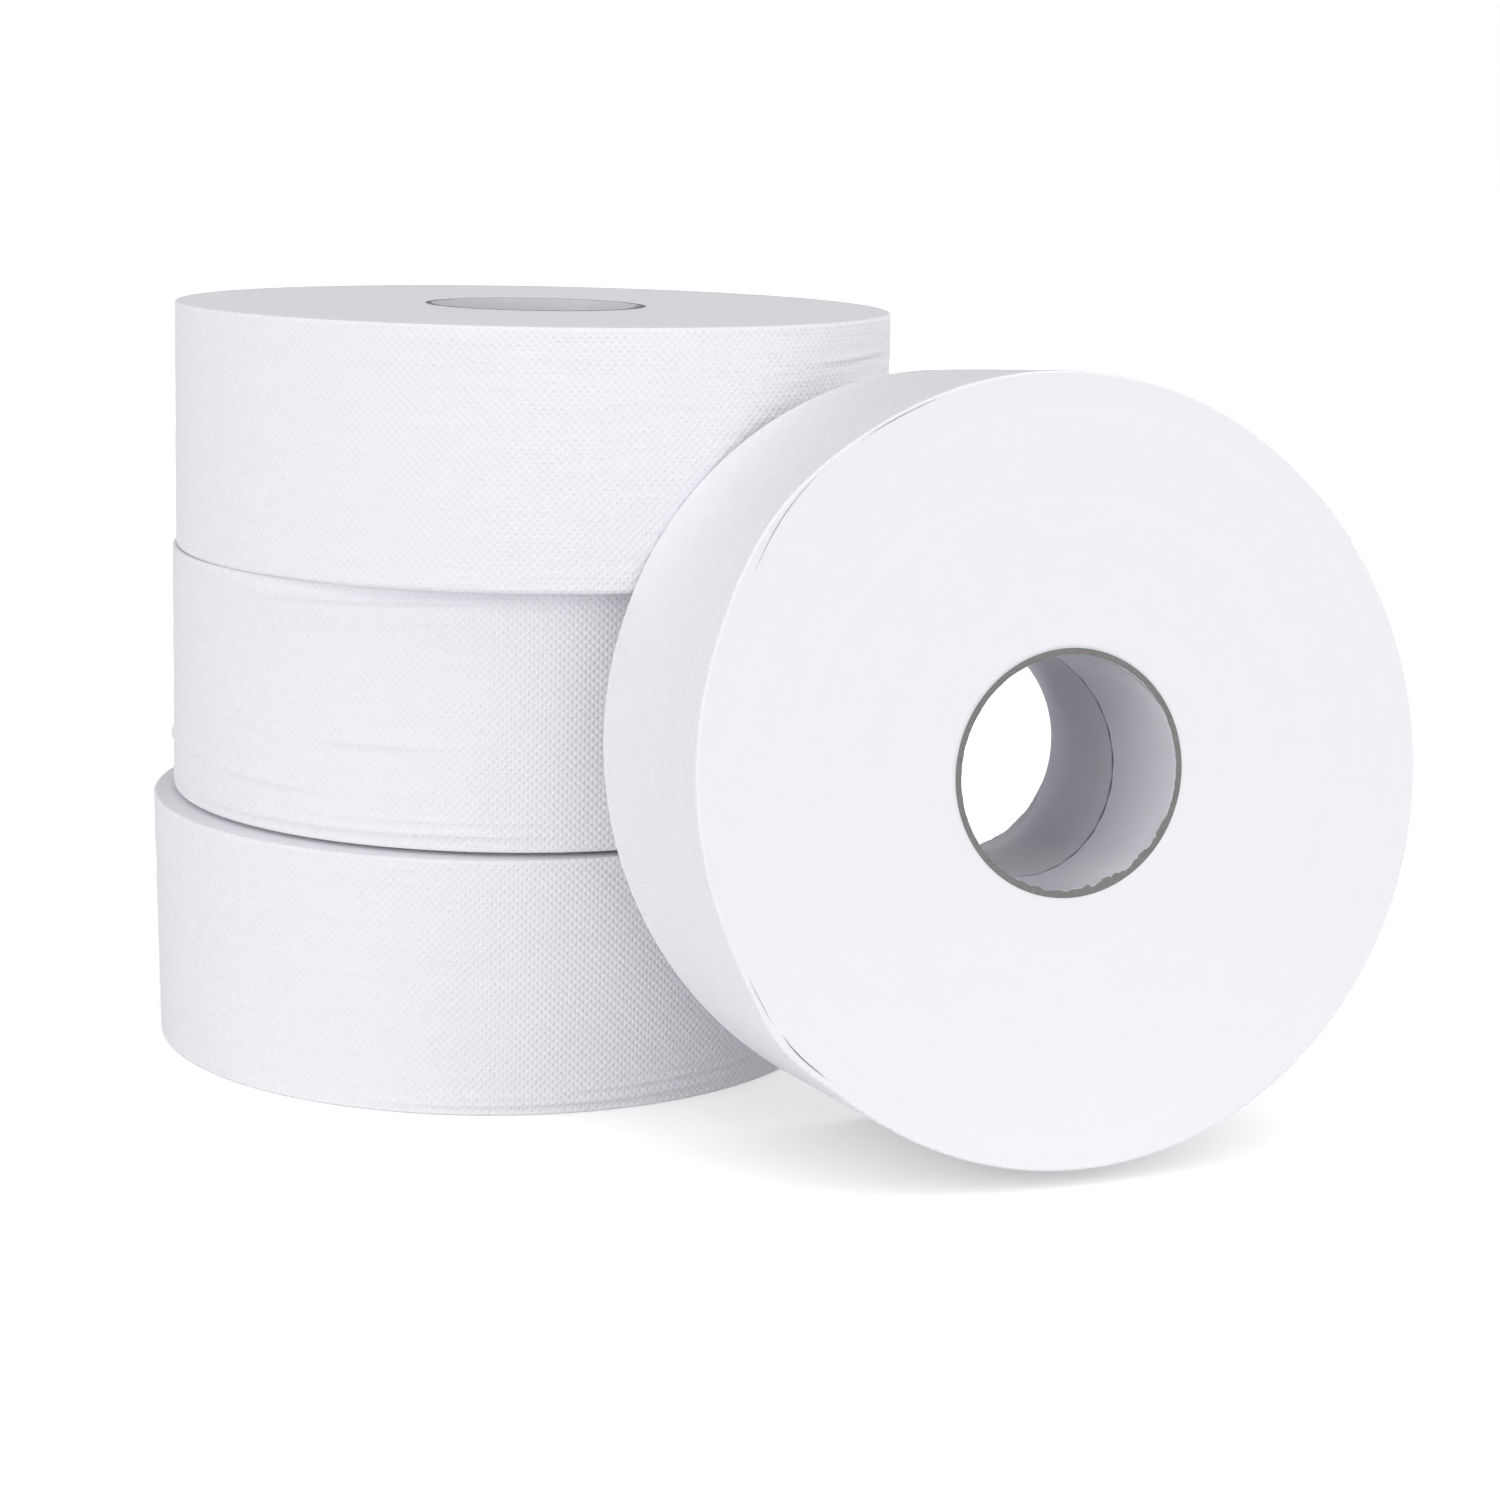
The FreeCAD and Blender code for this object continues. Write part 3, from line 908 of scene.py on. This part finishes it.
def tissue_cut_finish():
    """The cut faces: hundreds of turns on edge, some a little proud and some a little lower."""
    finish = Finish("tissue_cut", 0.98, 0.08)
    tree = finish.tree
    x, y, radius = split_vector(finish, finish.attribute("turns"))
    fine = unevenness(tree, join_xyz(tree, 30.0 * x, 30.0 * y, FINE_PER_METRE * radius))
    broad = unevenness(tree, join_xyz(tree, 40.0 * x, 40.0 * y, BROAD_PER_METRE * radius))
    cloud, grain = finish.fibre(0.010, 0.0006)
    share = (0.16 * fine + 0.06 * broad + 0.08 * cloud + 0.06 * grain).between(0.0, 1.0)
    finish.colour(EDGE_COLOUR, EDGE_SHADE, share)
    finish.relief(0.6 * fine + 0.3 * broad + 0.2 * grain, 0.00008)
    return finish.material


TISSUE_SIDE = tissue_side_finish()
TISSUE_CUT = tissue_cut_finish()
WOUND_ROLL = wound_roll_tree("wound_roll", (), ())


# The bottom roll carries the other two, so it is pressed in a little at its foot, where the
# ends of a few plies fold over each other along the rim.
BOTTOM_RADIUS = 0.1265
BOTTOM_FOOT_RADIUS = 0.1242
SIDE_FROM = 0.006
SIDE_FADE = 0.003
HOLLOW_SHARE = 0.55
HOLLOW_BELOW = 1.9
HOLLOW_SPREAD = 1.1
BOTTOM_CREASES = (
    (0.0042, -78.0, 36.0, 0.4, 1.0),
    (0.0090, -62.0, 28.0, 1.1, 0.9),
    (0.0065, -84.0, 22.0, -0.5, 0.6),
    (0.0130, -56.0, 20.0, 1.6, 0.5),
)


def press_creases(mesh, radius, creases, rise, spread):
    """Creases in the outermost turn of a roll: each has its height over the roll's foot in
    metres, its middle angle, half span and slope in degrees, and its own strength."""
    count = len(mesh.vertices)
    points = np.empty(count * 3, dtype=np.float64)
    mesh.vertices.foreach_get("co", points)
    points = points.reshape(-1, 3)
    reach = np.hypot(points[:, 0], points[:, 1])
    angle = np.arctan2(points[:, 1], points[:, 0])
    on_side = np.clip((reach - (radius - SIDE_FROM)) / SIDE_FADE, 0.0, 1.0)
    push = np.zeros(count)
    for height, middle_deg, half_span_deg, slope_deg, strength in creases:
        away = np.remainder(angle - math.radians(middle_deg) + math.pi, math.tau) - math.pi
        share = away / math.radians(half_span_deg)
        window = np.clip(1.0 - share * share, 0.0, 1.0) ** 1.5
        line = height + math.tan(math.radians(slope_deg)) * away * radius
        over = (points[:, 2] - line) / spread
        ridge = np.exp(-np.abs(over) ** 1.6)
        hollow = HOLLOW_SHARE * np.exp(-(((over + HOLLOW_BELOW) / HOLLOW_SPREAD) ** 2))
        push += strength * rise * window * (ridge - hollow)
    grow = 1.0 + push * on_side / np.maximum(reach, 0.001)
    points[:, 0] *= grow
    points[:, 1] *= grow
    mesh.vertices.foreach_set("co", points.reshape(-1))
    mesh.update()


bottom = made_mesh("bottom_roll", WOUND_ROLL, {
    "Width": CORE_LENGTHS["bottom_roll_core"],
    "Foot Radius": BOTTOM_FOOT_RADIUS,
    "Top Radius": BOTTOM_RADIUS,
    "Sheet End At": math.radians(75.0),
    "Oval At": math.radians(20.0),
    "Top Rings": 0.0,
    "Top Droop": 0.0007,
    "Seed": 3.1,
    "Side": TISSUE_SIDE,
    "Cut": TISSUE_CUT,
})
press_creases(bottom, BOTTOM_FOOT_RADIUS, BOTTOM_CREASES, 0.0011, 0.0012)
place = lying_place("bottom_roll_core")
finished_piece("bottom_wound_tissue", bottom, place, "bottom_roll_paper")


# The middle roll: its outermost turn is slack, and lies in long soft creases under the upper
# rim and above the lower one.
MIDDLE_RADIUS = 0.1274
MIDDLE_CREASES = (
    (0.0850, -112.0, 34.0, 2.4, 1.0),
    (0.0205, -163.0, 20.0, 0.6, 1.1),
    (0.0185, -132.0, 17.0, -0.8, 0.8),
    (0.0360, -110.0, 15.0, 0.9, 0.6),
    (0.0065, -118.0, 42.0, 0.5, 0.9),
    (0.0110, -104.0, 26.0, 0.8, 0.5),
)

middle = made_mesh("middle_roll", WOUND_ROLL, {
    "Width": CORE_LENGTHS["middle_roll_core"],
    "Foot Radius": MIDDLE_RADIUS,
    "Top Radius": MIDDLE_RADIUS,
    "Sheet End At": math.radians(120.0),
    "Oval At": math.radians(80.0),
    "Top Rings": 0.0,
    "Edge Folds": 0.0004,
    "Top Droop": 0.0005,
    "Foot Droop": 0.0009,
    "Seed": 7.7,
    "Side": TISSUE_SIDE,
    "Cut": TISSUE_CUT,
})
press_creases(middle, MIDDLE_RADIUS, MIDDLE_CREASES, 0.0012, 0.0013)
place = lying_place("middle_roll_core")
finished_piece("middle_wound_tissue", middle, place, "middle_roll_paper")


# The top roll shows its upper cut face, with a few turns sunk in rings, and a patch of short
# creases at its right, where the sheet was pinched.
TOP_RADIUS = 0.1290
TOP_CREASES = (
    (0.0760, -28.0, 17.0, 1.6, 1.0),
    (0.0670, -20.0, 14.0, -1.2, 1.0),
    (0.0710, -14.0, 9.0, 8.0, 0.8),
    (0.0640, -17.0, 8.0, 12.0, 0.7),
    (0.0560, -24.0, 13.0, 3.0, 0.5),
)

top = made_mesh("top_roll", WOUND_ROLL, {
    "Width": CORE_LENGTHS["top_roll_core"],
    "Foot Radius": TOP_RADIUS,
    "Top Radius": TOP_RADIUS,
    "Sheet End At": math.radians(60.0),
    "Oval At": 0.0,
    "Side Rows": 138,
    "Top Rows": 40,
    "Columns": 500,
    "Foot Droop": 0.0007,
    "Foot Round": 0.0022,
    "Seed": 11.3,
    "Side": TISSUE_SIDE,
    "Cut": TISSUE_CUT,
})
press_creases(top, TOP_RADIUS, TOP_CREASES, 0.0007, 0.0010)
place = lying_place("top_roll_core")
finished_piece("top_wound_tissue", top, place, "top_roll_paper")


# The standing roll: it stands on its rim, turned and leaning back on the stack, a little out
# of round and flat where it meets the floor. At the left of its front face the outermost
# turns have come loose and stand away from the rest.
STANDING_RADIUS = 0.1277
LOOSE_BULGES = (
    (139.0, 13.0, 0.0020),
    (219.0, 8.0, 0.0026),
)
LOOSE_GAPS = (
    (110.0, 124.0, 0.0012, 0.0012, 0.0005, 0.0012),
    (130.5, 148.5, 0.0012, 0.0039, 0.0005, 0.0012),
    (207.5, 216.0, 0.0014, 0.0022, 0.0004, 0.0006),
    (217.5, 228.0, 0.0030, 0.0021, 0.0005, 0.0018),
)
LOOSENED_ROLL = wound_roll_tree("loosened_roll", LOOSE_BULGES, LOOSE_GAPS)

standing = made_mesh("standing_roll", LOOSENED_ROLL, {
    "Width": STANDING_WIDTH,
    "Foot Radius": STANDING_RADIUS,
    "Top Radius": STANDING_RADIUS,
    "Sheet End At": math.radians(35.0),
    "Oval Rise": 0.0024,
    "Oval At": math.radians(-53.0),
    "Off Centre": 0.0008,
    "Off Centre At": math.radians(-49.0),
    "Top Rings": RING_DEPTH,
    "Foot Rings": RING_DEPTH,
    "Columns": 480,
    "Side Rows": 64,
    "Top Rows": 70,
    "Foot Rows": 26,
    "Seed": 17.9,
    "Side": TISSUE_SIDE,
    "Cut": TISSUE_CUT,
})
standing.transform(standing_place("standing_roll_core"))
for vertex in standing.vertices:
    vertex.co.z = max(vertex.co.z, 0.0)
in_place = Matrix.Identity(4)
finished_piece("standing_wound_tissue", standing, in_place, "standing_roll_paper")
